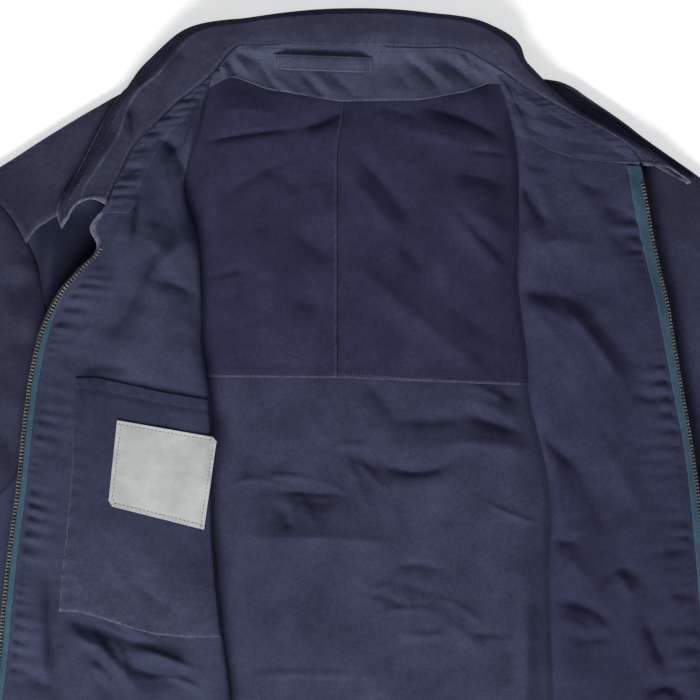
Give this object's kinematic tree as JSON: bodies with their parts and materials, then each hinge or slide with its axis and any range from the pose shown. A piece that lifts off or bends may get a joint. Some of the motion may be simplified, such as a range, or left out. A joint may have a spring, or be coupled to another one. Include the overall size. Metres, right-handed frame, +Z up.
{
  "type": "windbreaker jacket",
  "caption": "Navy poplin windbreaker laid on its back, unzipped, fronts folded out to show yoke, inside pocket, blank label and brass zip.",
  "frame": {"origin": "middle of the laid-out garment, on the surface it lies on", "axes": "+X to the wearer's left (the right of the picture), +Y from hem to collar, +Z up from the surface, towards the camera"},
  "size_m": [1.2392, 0.7022, 0.0285],
  "materials": {
    "poplin": "matte woven cotton blend",
    "facing": "matte woven cotton blend",
    "label": "matte woven label",
    "tape": "matte woven tape",
    "brass": "antique, dull"
  },
  "bodies": {
    "jacket": {"back_panel": "poplin", "back_yoke_right": "poplin", "back_yoke_left": "poplin", "back_neck_facing": "facing", "hanger_loop": "facing", "collar": "poplin", "front_right": "poplin", "front_left": "poplin", "front_yoke_right": "poplin", "front_yoke_left": "poplin", "front_neck_facing_right": "facing", "front_neck_facing_left": "facing", "inside_pocket": "poplin", "label": "label", "zip_tape_right": "tape", "zip_tape_left": "tape", "zip_chain_right": "brass", "zip_chain_left": "brass", "zip_slider": "brass", "zip_box": "brass", "zip_pin": "brass", "sleeve_right": "poplin", "sleeve_left": "poplin", "cuff_right": "poplin", "cuff_left": "poplin", "waistband_back": "poplin", "waistband_right": "poplin", "waistband_left": "poplin"},
    "pull": {"zip_pull": "brass"}
  },
  "joints": [
    {"name": "pull_swing", "type": "hinge", "parent": "jacket", "child": "pull", "pos_m": [-0.29793, -0.32776, 0.0076], "axis": [1, 0, 0], "range_deg": [-13, 150]}
  ]
}
